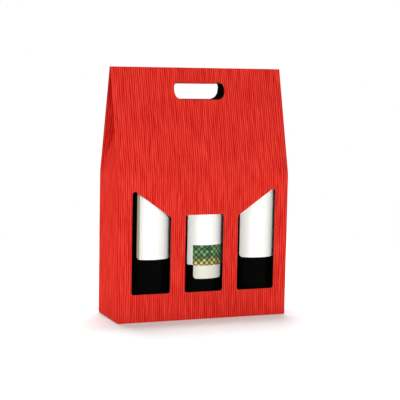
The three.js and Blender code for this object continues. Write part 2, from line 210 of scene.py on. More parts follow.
GLASS_RELIEF = 0.4
CORK_PORE = 2.2
FOIL_CREASE = 2.4  # real creases are too fine to show, so they are drawn this coarse
FOIL_CREASE_LENGTH = 20.0
FOIL_RELIEF = 0.1


def linear(colour):
    """An sRGB hex colour as linear RGBA."""
    shares = [int(colour[i:i + 2], 16) / 255 for i in (1, 3, 5)]
    return (*[s / 12.92 if s <= 0.04045 else ((s + 0.055) / 1.055) ** 2.4 for s in shares], 1.0)


def add(tree, kind, settings=None, links=None):
    """A new shader node. A setting is a property of it or, by name or number, the value of an input."""
    node = tree.nodes.new(f"ShaderNode{kind}")
    for key, value in (settings or {}).items():
        if isinstance(key, str) and hasattr(node, key):
            setattr(node, key, value)
        else:
            node.inputs[key].default_value = value
    for key, socket in (links or {}).items():
        tree.links.new(socket, node.inputs[key])
    return node


def new_material(name):
    """An empty material and its node tree."""
    made = bpy.data.materials.new(name)
    made.use_nodes = True
    made.node_tree.nodes.clear()
    return made, made.node_tree


def finished(material, surface):
    """The material, with the surface that its last node gives."""
    add(material.node_tree, "OutputMaterial", None, {"Surface": surface.outputs[0]})
    return material


def new_object(name, data):
    """A new object in the scene."""
    made = bpy.data.objects.new(name, data)
    bpy.context.scene.collection.objects.link(made)
    return made


def silk_lined_print():
    # Printed paper laid on the board: upright threads, lighter and smoother where they swell, all matt.
    made, tree = new_material("silk_lined_print")
    on_sheet = add(tree, "Attribute", {"attribute_name": "sheet"}).outputs["Vector"]
    parts = add(tree, "SeparateXYZ", None, {0: on_sheet}).outputs
    crowding = add(
        tree,
        "TexNoise",
        {"noise_dimensions": "1D", "Scale": 1 / THREAD_CROWDING, "Detail": 1.0},
        {"W": parts["X"]},
    )
    across = add(tree, "Math", {"operation": "DIVIDE", 1: THREAD_PITCH / 2}, {0: parts["X"]})
    crowded = add(
        tree,
        "Math",
        {"operation": "MULTIPLY_ADD", 1: CROWDING_SHIFT},
        {0: crowding.outputs["Fac"], 2: across.outputs[0]},
    )
    thread = add(tree, "Math", {"operation": "FLOOR"}, {0: crowded.outputs[0]})
    apart = add(tree, "Math", {"operation": "MULTIPLY", 1: THREAD_STEP}, {0: thread.outputs[0]})
    along = add(tree, "Math", {"operation": "DIVIDE", 1: THREAD_LENGTH}, {0: parts["Y"]})
    of_thread = add(
        tree, "CombineXYZ", None, {"X": apart.outputs[0], "Y": along.outputs[0], "Z": parts["Z"]}
    )
    swelling = add(tree, "TexNoise", {"Scale": 1.0, "Detail": 3.0}, {"Vector": of_thread.outputs[0]})
    slow = add(tree, "TexNoise", {"Scale": 1 / PRINT_DRIFT, "Detail": 1.0}, {"Vector": on_sheet})
    ridges = add(tree, "Math", {"operation": "PINGPONG", 1: 1.0}, {0: crowded.outputs[0]})
    raised = add(
        tree,
        "Math",
        {"operation": "MULTIPLY_ADD", 1: THREAD_SWELL},
        {0: swelling.outputs["Fac"], 2: ridges.outputs[0]},
    )
    tone = add(
        tree,
        "MapRange",
        {"From Min": THREAD_TONES[0], "From Max": THREAD_TONES[1]},
        {"Value": raised.outputs[0]},
    ).outputs["Result"]
    red = add(tree, "Mix", {"data_type": "RGBA", 6: linear("#b90809"), 7: linear("#e34235")}, {0: tone})
    drift = add(
        tree,
        "MapRange",
        {"From Min": 0.3, "From Max": 0.7, "To Min": 0.96, "To Max": 1.04},
        {"Value": slow.outputs["Fac"]},
    )
    drifted = add(tree, "HueSaturation", None, {"Color": red.outputs[2], "Value": drift.outputs["Result"]})
    roughness = add(tree, "MapRange", {"To Min": 0.9, "To Max": 0.75}, {"Value": tone})
    relief = add(tree, "Bump", {"Strength": 0.6, "Distance": THREAD_RELIEF * MM}, {"Height": tone})
    surface = add(
        tree,
        "BsdfPrincipled",
        {"IOR": 1.5, "Specular IOR Level": 0.002},
        {
            "Base Color": drifted.outputs["Color"],
            "Roughness": roughness.outputs["Result"],
            "Normal": relief.outputs["Normal"],
        },
    )
    return finished(made, surface)


def dyed_paper(name, dark, light, roughness):
    # Uncoated paper dyed through: short fibres show as a slight mottle, and it hardly shines.
    made, tree = new_material(name)
    on_sheet = add(tree, "Attribute", {"attribute_name": "sheet"}).outputs["Vector"]
    fibres = add(
        tree, "TexNoise", {"Scale": 1 / FIBRE, "Detail": 3.0, "Roughness": 0.65}, {"Vector": on_sheet}
    )
    colour = add(
        tree, "Mix", {"data_type": "RGBA", 6: linear(dark), 7: linear(light)}, {0: fibres.outputs["Fac"]}
    )
    relief = add(
        tree, "Bump", {"Strength": 0.3, "Distance": PAPER_RELIEF * MM}, {"Height": fibres.outputs["Fac"]}
    )
    surface = add(
        tree,
        "BsdfPrincipled",
        {"Roughness": roughness, "IOR": 1.45, "Specular IOR Level": 0.05},
        {"Base Color": colour.outputs[2], "Normal": relief.outputs["Normal"]},
    )
    return finished(made, surface)


def kraft_fluting_painted_shade():
    # Cut edge of corrugated board: waves of brown kraft paper, with painted shade in the hollows between
    # them.
    made, tree = new_material("kraft_fluting_painted_shade")
    on_sheet = add(tree, "Attribute", {"attribute_name": "sheet"}).outputs["Vector"]
    across = add(tree, "SeparateXYZ", None, {0: on_sheet}).outputs["X"]
    angle = add(tree, "Math", {"operation": "MULTIPLY", 1: 2 * math.pi / FLUTE_PITCH}, {0: across})
    wave = add(tree, "Math", {"operation": "SINE"}, {0: angle.outputs[0]})
    share = add(tree, "MapRange", {"From Min": -0.6, "From Max": 0.6}, {"Value": wave.outputs[0]})
    # the dark colour is painted shade in the flute hollows, the light one is the kraft paper
    colour = add(
        tree,
        "Mix",
        {"data_type": "RGBA", 6: linear("#3a2a20"), 7: linear("#7d5e46")},
        {0: share.outputs["Result"]},
    )
    surface = add(
        tree,
        "BsdfPrincipled",
        {"Roughness": 0.9, "IOR": 1.45, "Specular IOR Level": 0.2},
        {"Base Color": colour.outputs[2]},
    )
    return finished(made, surface)


def bottle_glass():
    # Moulded green glass of a full bottle: almost black, smooth and a little uneven, with little shine.
    made, tree = new_material("moulded_green_glass")
    place = add(tree, "TexCoord").outputs["Object"]
    swell = add(tree, "TexNoise", {"Scale": 1 / (GLASS_SWELL * MM), "Detail": 1.0}, {"Vector": place})
    colour = add(
        tree,
        "Mix",
        {"data_type": "RGBA", 6: linear("#020302"), 7: linear("#060806")},
        {0: swell.outputs["Fac"]},
    )
    relief = add(
        tree, "Bump", {"Strength": 0.2, "Distance": GLASS_RELIEF * MM}, {"Height": swell.outputs["Fac"]}
    )
    surface = add(
        tree,
        "BsdfPrincipled",
        {"Roughness": 0.09, "IOR": 1.5, "Specular IOR Level": 0.01},
        {"Base Color": colour.outputs[2], "Normal": relief.outputs["Normal"]},
    )
    return finished(made, surface)


def label_paper(name, panel=False, side_band=False):
    # Laid label paper: soft white with faint fibres, matt, with a printed panel and darker beige side bands
    # where they are asked for.
    made, tree = new_material(name)
    on_sheet = add(tree, "Attribute", {"attribute_name": "sheet"}).outputs["Vector"]
    parts = add(tree, "SeparateXYZ", None, {0: on_sheet})
    fibres = add(
        tree, "TexNoise", {"Scale": 1 / FIBRE, "Detail": 3.0, "Roughness": 0.6}, {"Vector": on_sheet}
    )
    colour = add(
        tree,
        "Mix",
        {"data_type": "RGBA", 6: linear("#f8f6f0"), 7: linear("#fdfcf9")},
        {0: fibres.outputs["Fac"]},
    ).outputs[2]
    if panel:
        turned_sheet = add(
            tree, "VectorRotate", {"rotation_type": "Z_AXIS", "Angle": math.pi / 4}, {"Vector": on_sheet}
        )
        # green lozenges above, ochre ones below, outlined in a dark ink
        height = add(
            tree,
            "MapRange",
            {
                "From Min": PANEL_LOW + INK_CHANGE[0] * LOZENGE,
                "From Max": PANEL_LOW + INK_CHANGE[1] * LOZENGE,
            },
            {"Value": parts.outputs["Y"]},
        )
        inks = [
            add(
                tree,
                "Mix",
                {"data_type": "RGBA", 6: linear(below), 7: linear(above)},
                {0: height.outputs["Result"]},
            ).outputs[2]
            for below, above in (("#d9cf7e", "#7fb27c"), ("#8f8a45", "#2f5a3a"))
        ]
        lozenges = add(
            tree,
            "TexBrick",
            {
                "offset": 0.0,
                "Mortar": linear("#26301f"),
                "Scale": 1.0,
                "Mortar Size": PANEL_RULE,
                "Brick Width": LOZENGE,
                "Row Height": LOZENGE,
            },
            {"Vector": turned_sheet.outputs[0], "Color1": inks[0], "Color2": inks[1]},
        )
        within = []
        for axis, middle, half in (
            ("X", 0.0, PANEL_HALF),
            ("Y", (PANEL_LOW + PANEL_HIGH) / 2, (PANEL_HIGH - PANEL_LOW) / 2),
        ):
            compared = add(
                tree, "Math", {"operation": "COMPARE", 1: middle, 2: half}, {0: parts.outputs[axis]}
            )
            within.append(compared.outputs[0])
        # below the panel, the tongue is a greyer off-white
        tongue = add(tree, "Math", {"operation": "LESS_THAN", 1: PANEL_LOW}, {0: parts.outputs["Y"]})
        colour = add(
            tree, "Mix", {"data_type": "RGBA", 7: linear("#dfe0d2")}, {0: tongue.outputs[0], 6: colour}
        ).outputs[2]
        printed = add(tree, "Math", {"operation": "MULTIPLY"}, {0: within[0], 1: within[1]})
        colour = add(
            tree,
            "Mix",
            {"data_type": "RGBA"},
            {0: printed.outputs[0], 6: colour, 7: lozenges.outputs["Color"]},
        ).outputs[2]
    # a beige-olive band, darker than the paper, along both side edges of the label
    if side_band:
        half_wrap = LABEL_WRAP * BOTTLE_RADIUS / 2
        distance = add(tree, "Math", {"operation": "ABSOLUTE"}, {0: parts.outputs["X"]})
        banded = add(
            tree,
            "Math",
            {"operation": "COMPARE", 1: half_wrap - SIDE_BAND / 2, 2: SIDE_BAND / 2},
            {0: distance.outputs[0]},
        )
        colour = add(
            tree, "Mix", {"data_type": "RGBA", 7: linear("#b4ae8c")}, {0: banded.outputs[0], 6: colour}
        ).outputs[2]
    relief = add(
        tree, "Bump", {"Strength": 0.25, "Distance": PAPER_RELIEF * MM}, {"Height": fibres.outputs["Fac"]}
    )
    surface = add(
        tree,
        "BsdfPrincipled",
        {"Roughness": 0.75, "IOR": 1.45, "Specular IOR Level": 0.15},
        {"Base Color": colour, "Normal": relief.outputs["Normal"]},
    )
    return finished(made, surface)


def punched_cork():
    # Cork punched from bark: warm tan, matt, with darker pores of a millimetre or two.
    made, tree = new_material("punched_cork")
    place = add(tree, "TexCoord").outputs["Object"]
    pores = add(tree, "TexVoronoi", {"Scale": 1 / (CORK_PORE * MM)}, {"Vector": place})
    share = add(tree, "MapRange", {"From Min": 0.15, "From Max": 0.5}, {"Value": pores.outputs["Distance"]})
    colour = add(
        tree,
        "Mix",
        {"data_type": "RGBA", 6: linear("#8a6238"), 7: linear("#c79d68")},
        {0: share.outputs["Result"]},
    )
    surface = add(
        tree, "BsdfPrincipled", {"Roughness": 0.85, "IOR": 1.45}, {"Base Color": colour.outputs[2]}
    )
    return finished(made, surface)


def capsule_foil():
    # Lacquered foil spun on to the neck: dark wine red, satin, with fine upright creases.
    made, tree = new_material("lacquered_foil")
    place = add(tree, "TexCoord").outputs["Object"]
    spacing = (FOIL_CREASE, FOIL_CREASE, FOIL_CREASE_LENGTH)
    drawn = add(
        tree,
        "VectorMath",
        {"operation": "MULTIPLY", 1: tuple(1 / (size * MM) for size in spacing)},
        {0: place},
    )
    creases = add(tree, "TexNoise", {"Scale": 1.0, "Detail": 2.0}, {"Vector": drawn.outputs[0]})
    roughness = add(tree, "MapRange", {"To Min": 0.32, "To Max": 0.5}, {"Value": creases.outputs["Fac"]})
    relief = add(
        tree, "Bump", {"Strength": 0.3, "Distance": FOIL_RELIEF * MM}, {"Height": creases.outputs["Fac"]}
    )
    colour = add(
        tree,
        "Mix",
        {"data_type": "RGBA", 6: linear("#280b0e"), 7: linear("#3c1115")},
        {0: creases.outputs["Fac"]},
    )
    surface = add(
        tree,
        "BsdfPrincipled",
        {"Metallic": 0.8},
        {
            "Base Color": colour.outputs[2],
            "Roughness": roughness.outputs["Result"],
            "Normal": relief.outputs["Normal"],
        },
    )
    return finished(made, surface)


PRINT = silk_lined_print()
LINER = dyed_paper("dyed_liner", "#100f0e", "#1d1b19", roughness=0.9)
CARD = dyed_paper("dyed_card", "#141312", "#24211f", roughness=0.9)
CARD_EDGE = dyed_paper("cut_card_edge", "#2f2c29", "#4a4540", roughness=0.95)
FLUTING = kraft_fluting_painted_shade()
BOARD_FINISH = (PRINT, LINER, FLUTING)
CARD_FINISH = (CARD, CARD, CARD_EDGE)
FINISHES = {"printed_board": BOARD_FINISH, "plain_card": CARD_FINISH}  # by the slots of the record
GLASS = bottle_glass()
PAPERS = {
    "left": label_paper("label_paper_banded", side_band=True),
    "middle": label_paper("label_paper_panelled", panel=True),
    "right": label_paper("label_paper_plain"),
}
CORK = punched_cork()
FOIL = capsule_foil()

# An edge is cut, or it shows a finish on the outer and one on the inner half of the board's thickness
CUT = None
CREASE = (0, 1)
HINGE = (0, 0)
BOARD_EDGE = (
    (0, 0),
    (0, -SKIN),
    (CORE_RECESS, -SKIN),
    (CORE_RECESS, -BOARD / 2),
    (CORE_RECESS, SKIN - BOARD),
    (0, SKIN - BOARD),
    (0, -BOARD),
)
PAPER_EDGE = ((0, 0), (0, -LABEL_PAPER))


def rounded(corners):
    """An outline through corners (x, y, radius), each rounded by an arc.

    A fourth value of a corner says what the edge to the next one is, if it isn't cut.
    """
    outline = []
    for i, (x, y, radius, *crease) in enumerate(corners):
        corner = Vector((x, y))
        back = (Vector(corners[i - 1][:2]) - corner).normalized()
        ahead = (Vector(corners[(i + 1) % len(corners)][:2]) - corner).normalized()
        half = back.angle(ahead) / 2
        centre = corner + (back + ahead).normalized() * (radius / math.sin(half))
        start = corner + back * (radius / math.tan(half)) - centre
        turn = start.angle_signed(corner + ahead * (radius / math.tan(half)) - centre)
        for step in range(CORNER_STEPS + 1):
            point = start.copy()
            point.rotate(Matrix.Rotation(-turn * step / CORNER_STEPS, 2))
            outline.append((*(centre + point), crease[0] if crease and step == CORNER_STEPS else CUT))
    return outline


def inside(point, loops):
    """Whether a point lies in a shape with holes."""
    x, y = point
    crossings = 0
    for loop in loops:
        for (ax, ay, _), (bx, by, _) in zip(loop, loop[1:] + loop[:1]):
            if (ay > y) != (by > y) and x < ax + (y - ay) / (by - ay) * (bx - ax):
                crossings += 1
    return crossings % 2 == 1


def triangles_of(loops, cuts):
    """A flat shape with holes as points and counterclockwise triangles, split along the cuts."""
    points, edges = [], []
    for loop in loops:
        first = len(points)
        points += [Vector(corner[:2]) for corner in loop]
        edges += [(first + i, first + (i + 1) % len(loop)) for i in range(len(loop))]
    for start, end in cuts:
        edges.append((len(points), len(points) + 1))
        points += [Vector(start), Vector(end)]
    # this fills the hull of the points, so what lies outside the shape or in a hole is dropped below
    points, _, faces, *_ = delaunay_2d_cdt(points, edges, [], 0, SAME_POINT)
    kept = []
    for a, b, c in faces:
        if not inside((points[a] + points[b] + points[c]) / 3, loops):
            continue
        ab, ac = points[b] - points[a], points[c] - points[a]
        kept.append((a, b, c) if ab.x * ac.y - ab.y * ac.x > 0 else (a, c, b))
    return points, kept


def edge_at(point, loops):
    """What the edge is at a point of the border: cut, or creased with its two finishes."""
    for loop in loops:
        for (ax, ay, kind), (bx, by, _) in zip(loop, loop[1:] + loop[:1]):
            if kind is CUT:
                continue
            start, along = Vector((ax, ay)), Vector((bx - ax, by - ay))
            share = (point - start).dot(along) / along.length_squared
            if 0 <= share <= 1 and (start + along * share - point).length < ON_EDGE:
                return kind
    return CUT


def distinct(corners):
    """The corners of a face, each once."""
    return [corner for i, corner in enumerate(corners) if corner not in corners[:i]]


def sheet(name, loops, cuts, place, edge, finishes, seed=0):
    """A sheet of board or paper from its flat outline and holes, with corners (x, y, edge to the next).

    place(x, y, depth) puts a point where the folded sheet has it; edge lists (inset, depth) from the face to
    the back along a cut edge. The finishes are those of the face, the back and the cut edges. The seed sets
    its print apart from that of other sheets.
    """
    points, triangles = triangles_of(loops, cuts)
    sides = {(corners[i - 1], corners[i]) for corners in triangles for i in range(3)}
    border = sorted(pair for pair in sides if pair[::-1] not in sides)
    kinds = {pair: edge_at((points[pair[0]] + points[pair[1]]) / 2, loops) for pair in border}
    normals, held = {}, set()
    for a, b in border:
        along = (points[b] - points[a]).normalized()
        for corner in (a, b):
            normals.setdefault(corner, []).append(Vector((along.y, -along.x)))
            if kinds[(a, b)] is not CUT:
                held.add(corner)

    places, flat_places, faces, finish_of = [], [], [], []
    used = sorted({corner for corners in triangles for corner in corners})

    def layer(corners, inset, depth, above=None):
        ids = {}
        for i in corners:
            if above and i in held:
                ids[i] = above[i]
                continue
            point = points[i].copy()
            if inset and i not in held:
                one, two = normals[i][0], normals[i][-1]
                point -= (one + two) / (1 + one.dot(two)) * inset
            ids[i] = len(places)
            places.append(place(point.x, point.y, depth) * MM)
            flat_places.append((point.x, point.y, seed))
        return ids

    face = layer(used, *edge[0])
    back = layer(used, *edge[-1])
    for a, b, c in triangles:
        faces += [(face[a], face[b], face[c]), (back[c], back[b], back[a])]
        finish_of += [0, 1]
    rings = [face]
    for (_, before), (inset, depth) in zip(edge, edge[1:-1]):
        rings.append(layer(sorted(normals), inset, depth, rings[-1] if depth == before else None))
    rings.append(back)
    for number, (upper, lower) in enumerate(zip(rings, rings[1:])):
        for a, b in border:
            corners = distinct([upper[a], lower[a], lower[b], upper[b]])
            if len(corners) < 3:
                continue
            faces.append(corners)
            kind = kinds[(a, b)]
            finish_of.append(2 if kind is CUT else kind[number >= len(rings) // 2])

    mesh = bpy.data.meshes.new(name)
    mesh.from_pydata(places, [], faces)
    for finish in finishes:
        mesh.materials.append(finish)
    mesh.polygons.foreach_set("material_index", finish_of)
    spread = mesh.attributes.new("sheet", "FLOAT_VECTOR", "POINT")
    spread.data.foreach_set("vector", [value for point in flat_places for value in point])
    mesh.shade_smooth()
    mesh.set_sharp_from_angle(angle=SHARP_FOLD)
    return new_object(name, mesh)


def roll(along, low, high, depth):
    """Carries a point round half a fold at a crease: where it comes to lie along the panel, and how deep."""
    for crease, side in ((low, -1), (high, 1)):
        if crease is None:
            continue
        past = (along - crease) * side + FOLD_RADIUS
        if past > 0:
            turn = past / FOLD_RADIUS
            reach = (FOLD_RADIUS + depth) * math.sin(turn) - FOLD_RADIUS
            return crease + side * reach, (FOLD_RADIUS + depth) * math.cos(turn) - FOLD_RADIUS
    return along, depth


def folded(matrix, across=(None, None), up=(None, None), lean=0.0, bend=0.0):
    """Puts points of a flat panel in place, round the creases at its edges and a bend at the shoulder."""
    end = max(abs(crease or 0) for crease in across)

    def place(x, y, depth):
        x, depth = roll(x, *across, depth)
        y, depth = roll(y, *up, depth)
        if not lean:
            return matrix @ Vector((x, y, depth))
        half = bend - (bend - CORNER_BEND) * min(abs(x) / end, 1) ** 2
        share = min(max((y - SHOULDER + half) / (2 * half), 0.0), 1.0)
        turn = lean * share
        if share <= 0:
            out, height = 0.0, y
        elif share < 1:
            radius = half / math.tan(lean / 2)
            out, height = -radius * (1 - math.cos(turn)), SHOULDER - half + radius * math.sin(turn)
        else:
            out, height = -(y - SHOULDER) * math.sin(lean), SHOULDER + (y - SHOULDER) * math.cos(lean)
        return matrix @ Vector((x, height + depth * math.sin(turn), out + depth * math.cos(turn)))

    return place


def wall_matrix(turn, reach):
    """A wall's axes: x along it, y up it and z out through its face."""
    upright = Matrix.Rotation(QUARTER, 4, "X")
    return Matrix.Rotation(turn, 4, "Z") @ Matrix.Translation((0, -reach, 0)) @ upright


def fold(x, y, z, about_x=0.0, about_y=0.0):
    """The axes of a panel folded about a crease that runs through a point of another."""
    once = Matrix.Translation((x, y, z)) @ Matrix.Rotation(about_x, 4, "X")
    return once @ Matrix.Rotation(about_y, 4, "Y")


def fold_columns(low, high, foot, top, first=0):
    """Cuts up a panel through its creased edges, where they turn: the first half of a fold, or the other."""
    cuts = []
    for crease, side in ((low, -1), (high, 1)):
        if crease is None:
            continue
        for step in range(first, first + FOLD_STEPS):
            x = crease + side * FOLD_RADIUS * (step / FOLD_STEPS * math.pi / 4 - 1)
            cuts.append(((x, foot), (x, top)))
    return cuts


def fold_rows(crease, side, reach):
    """Cuts across a panel through a creased edge at its foot or head."""
    cuts = []
    for step in range(FOLD_STEPS):
        y = crease + side * (FOLD_END + (FOLD_RADIUS - FOLD_END) * (step + 1) / FOLD_STEPS)
        cuts.append(((-reach, y), (reach, y)))
    return cuts


def bend_cuts(reach, bend):
    """Cuts through the soft bend at the shoulder."""
    rows = [((-reach, SHOULDER + bend * row), (reach, SHOULDER + bend * row)) for row in BEND_ROWS]
    columns = []
    for step in range(1, BEND_COLUMNS):
        x = reach * (2 * step / BEND_COLUMNS - 1)
        columns.append(((x, SHOULDER - bend), (x, SHOULDER + bend)))
    return rows + columns


def windows():
    """The outlines of the three windows. The tops of the outer ones slant down to the middle."""
    half = WINDOW_WIDTH / 2
    outlines = []
    for centre, left_top, right_top in (
        (-WINDOW_PITCH, OUTER_WINDOW_HIGH_TOP, OUTER_WINDOW_LOW_TOP),
        (0, MIDDLE_WINDOW_TOP, MIDDLE_WINDOW_TOP),
        (WINDOW_PITCH, OUTER_WINDOW_LOW_TOP, OUTER_WINDOW_HIGH_TOP),
    ):
        left, right = centre - half, centre + half
        corners = ((left, WINDOW_SILL), (right, WINDOW_SILL), (right, right_top), (left, left_top))
        outlines.append(rounded([(x, y, WINDOW_CORNER) for x, y in corners]))
    return outlines


def grip(inset, foot, head, corner):
    """The outline of the grip, on a slope that starts at foot. Its upper edge is of the kind head."""
    half = GRIP_WIDTH / 2 - inset
    return rounded([
        (-half, foot + GRIP_BOTTOM + inset, corner),
        (half, foot + GRIP_BOTTOM + inset, corner),
        (half, foot + GRIP_TOP, GRIP_UPPER_CORNER, head),
        (-half, foot + GRIP_TOP, GRIP_UPPER_CORNER),
    ])


def long_panel(name, turn, cut_end, holes, seed):
    """A long wall with its slope in one sheet, bent at the shoulder, above which its edges fold right over.

    The back one has a cut end over the glue flap.
    """
    end = HALF_WIDTH - FOLD_END
    lip = HALF_WIDTH + FOLD_LIP
    foot = SHOULDER + CORNER_GAP
    top = SHOULDER + SLOPE
    outline = [(end, FOLD_END, CREASE), (end, foot, CREASE), (lip, foot, CREASE), (lip, top, CUT)]
    if cut_end:
        outline += [(-HALF_WIDTH, top, CUT), (-HALF_WIDTH, FOLD_END, CREASE)]
    else:
        outline += [(-lip, top, CREASE), (-lip, foot, CREASE)]
        outline += [(-end, foot, CREASE), (-end, FOLD_END, CREASE)]
    across = (None if cut_end else -HALF_WIDTH, HALF_WIDTH)
    reach = HALF_WIDTH + 2 * CUT_PAST
    cuts = (
        fold_columns(*across, 0, top + CUT_PAST)
        + fold_columns(*across, foot, top + CUT_PAST, FOLD_STEPS)
        + fold_rows(0, 1, reach)
        + bend_cuts(reach, SHOULDER_BEND)
    )
    place = folded(wall_matrix(turn, HALF_DEPTH), across, (0, None), ROOF_LEAN, SHOULDER_BEND)
    made = sheet(f"{name}_panel", [outline, *holes], cuts, place, BOARD_EDGE, BOARD_FINISH, seed)
    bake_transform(made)
    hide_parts(f"{name}_wall", f"{name}_roof_slope")


def side_panel(name, turn, back_crease, seed):
    """A side wall with the middle triangle of its gusset in one sheet."""
    low, high = (-HALF_DEPTH, back_crease) if turn > 0 else (-back_crease, HALF_DEPTH)
    foot = GUSSET_REACH - VALLEY_GAP
    top = SHOULDER + SLOPE
    outline = [
        (low + FOLD_END, SIDE_WALL_FOOT + FOLD_END, CREASE),
        (high - FOLD_END, SIDE_WALL_FOOT + FOLD_END, CREASE),
        (high - FOLD_END, SHOULDER, CREASE),
        (foot, SHOULDER, CREASE),
        (GUSSET_TIP, top, CUT),
        (-GUSSET_TIP, top, CREASE),
        (-foot, SHOULDER, CREASE),
        (low + FOLD_END, SHOULDER, CREASE),
    ]
    reach = HALF_DEPTH + CUT_PAST
    cuts = (
        fold_columns(low, high, 0, SHOULDER)
        + fold_rows(SIDE_WALL_FOOT, 1, reach)
        + bend_cuts(reach, GUSSET_BEND)
    )
    stand = wall_matrix(turn, HALF_WIDTH)
    place = folded(stand, (low, high), (SIDE_WALL_FOOT, None), GUSSET_LEAN, GUSSET_BEND)
    made = sheet(f"{name}_panel", [outline], cuts, place, BOARD_EDGE, BOARD_FINISH, seed)
    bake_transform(made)
    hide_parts(f"{name}_wall", f"{name}_gusset_middle")


def gusset_triangle(node, turn, side, seed):
    """A small gusset triangle, folded back behind a slope with its print away from it."""
    matrix = (
        wall_matrix(turn, HALF_DEPTH)
        @ fold(0, SHOULDER, 0, -ROOF_LEAN)
        @ fold(side * (HALF_WIDTH - BOARD / 2), 0, -GUSSET_INSET, 0, -side * GUSSET_SPREAD)
        @ Matrix.Rotation(math.pi, 4, "Y")
    )
    outer = -side * BOARD / 2
    inner = side * GUSSET_REACH / SLOPE
    gap = side * VALLEY_GAP
    outline = [
        (outer, CORNER_GAP, HINGE),
        (outer, SLOPE, CUT),
        (inner * SLOPE - gap, SLOPE, CREASE),
        (inner * CORNER_GAP - gap, CORNER_GAP, CREASE),
    ]
    made = sheet(
        f"{node}_triangle",
        [outline],
        [],
        lambda x, y, depth: matrix @ Vector((x, y, depth + BOARD / 2)),
        BOARD_EDGE,
        BOARD_FINISH,
        seed,
    )
    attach(made, node)
    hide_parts(node)


def grip_tab():
    """The flap cut from the front grip hole, pushed in about its upper edge."""
    matrix = (
        wall_matrix(0, HALF_DEPTH)
        @ fold(0, SHOULDER, 0, -ROOF_LEAN)
        @ fold(0, GRIP_TOP, -BOARD, QUARTER + ROOF_LEAN - GRIP_FLAP_DROOP)
    )
    made = sheet(
        "grip_tab",
        [grip(GRIP_FLAP_PLAY, 0, HINGE, GRIP_TAB_CORNER)],
        [],
        lambda x, y, depth: matrix @ Vector((x, y - GRIP_TOP, depth + BOARD)),
        BOARD_EDGE,
        BOARD_FINISH,
        seed=8,
    )
    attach(made, "grip_flap")
    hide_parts("grip_flap")


def carton_flap(node, outline, cuts, matrix, slot, seed, across=(None, None), up=(None, None)):
    """A flat panel that stays with the carton."""
    place = folded(matrix, across, up)
    made = sheet(f"{node}_board", [outline], cuts, place, BOARD_EDGE, FINISHES[slot], seed)
    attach(made, "carton")
    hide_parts(node)


def base_flaps():
    """Front and back flaps that hook together, and plain side flaps above them."""
    end = HALF_WIDTH - HOOKED_FLAP_INSET
    reach = HALF_DEPTH - SLIT / 2
    shift = SLIT / 2
    hooked = [
        (-end, -reach - BASE_HOOK, CUT),
        (-BASE_HOOK_SLANT - shift, -reach - BASE_HOOK, CUT),
        (BASE_HOOK_SLANT - shift, -reach + BASE_HOOK, CUT),
        (end, -reach + BASE_HOOK, CUT),
        (end, -FOLD_END, CREASE),
        (-end, -FOLD_END, CUT),
    ]
    half = HALF_DEPTH - BOARD - BASE_FLAP_INSET
    plain = [
        (-half + SIDE_FLAP_TAPER, -SIDE_FLAP_LENGTH, CUT),
        (half - SIDE_FLAP_TAPER, -SIDE_FLAP_LENGTH, CUT),
        (half, -FOLD_END, CREASE),
        (-half, -FOLD_END, CUT),
    ]
    cuts = fold_rows(0, -1, HALF_WIDTH + CUT_PAST)
    for name, turn, reach_out, foot, outline, seed in (
        ("front", 0, HALF_DEPTH, 0, hooked, 10),
        ("back", math.pi, HALF_DEPTH, 0, hooked, 11),
        ("left", -QUARTER, HALF_WIDTH, SIDE_FOOT, plain, 12),
        ("right", QUARTER, HALF_WIDTH, SIDE_FOOT, plain, 13),
    ):
        matrix = wall_matrix(turn, reach_out) @ fold(0, foot, 0, QUARTER)
        carton_flap(f"{name}_base_flap", outline, cuts, matrix, "printed_board", seed, up=(None, 0))


def glue_flap():
    """The flap that closes the sleeve, inside the back wall."""
    outline = [
        (FOLD_END, GLUE_FLAP_FOOT, CUT),
        (GLUE_FLAP_WIDTH, GLUE_FLAP_FOOT + GLUE_FLAP_TAPER, CUT),
        (GLUE_FLAP_WIDTH, GLUE_FLAP_TOP - GLUE_FLAP_TAPER, CUT),
        (FOLD_END, GLUE_FLAP_TOP, CREASE),
    ]
    matrix = wall_matrix(QUARTER, HALF_WIDTH) @ fold(GLUE_CREASE, 0, 0, 0, QUARTER)
    cuts = fold_columns(0, None, GLUE_FLAP_FOOT, GLUE_FLAP_TOP)
    carton_flap("glue_flap", outline, cuts, matrix, "printed_board", seed=14, across=(0, None))


def insert():
    """A folded card with a back web and two partitions between the bottles."""
    back = Matrix.Translation((INSERT_SHIFT, 0, 0)) @ wall_matrix(math.pi, HALF_DEPTH - BOARD - SLIT)
    half = PARTITION_PITCH / 2 + BOARD / 2
    web = [
        (-half + FOLD_END, SIDE_FOOT, CUT),
        (half - FOLD_END, SIDE_FOOT, CREASE),
        (half - FOLD_END, PARTITION_HEIGHT, CUT),
        (-half + FOLD_END, PARTITION_HEIGHT, CREASE),
    ]
    cuts = fold_columns(-half, half, SIDE_FOOT, PARTITION_HEIGHT)
    carton_flap("insert_web", web, cuts, back, "plain_card", seed=15, across=(-half, half))
    length = 2 * HALF_DEPTH - 2 * BOARD - SLIT - PARTITION_PLAY
    for name, side in (("left", 1), ("right", -1)):
        outline = [
            (side * FOLD_END, SIDE_FOOT, CUT),
            (side * length, SIDE_FOOT, CUT),
            (side * length, PARTITION_HEIGHT - PARTITION_SLANT, CUT),
            (side * (length - PARTITION_SLANT), PARTITION_HEIGHT, CUT),
            (side * FOLD_END, PARTITION_HEIGHT, CREASE),
        ]
        across = (0, None) if side > 0 else (None, 0)
        matrix = back @ fold(side * half, 0, 0, 0, side * QUARTER)
        cuts = fold_columns(*across, SIDE_FOOT, PARTITION_HEIGHT)
        carton_flap(f"{name}_partition", outline, cuts, matrix, "plain_card", seed=16, across=across)


def curve(start, one, two, end, steps):
    """Points along a cubic curve, without its first."""
    found = []
    for step in range(1, steps + 1):
        t = step / steps
        weights = ((1 - t) ** 3, 3 * t * (1 - t) ** 2, 3 * t * t * (1 - t), t ** 3)
        weighed = list(zip(weights, (start, one, two, end)))
        found.append(tuple(sum(weight * point[axis] for weight, point in weighed) for axis in (0, 1)))
    return found


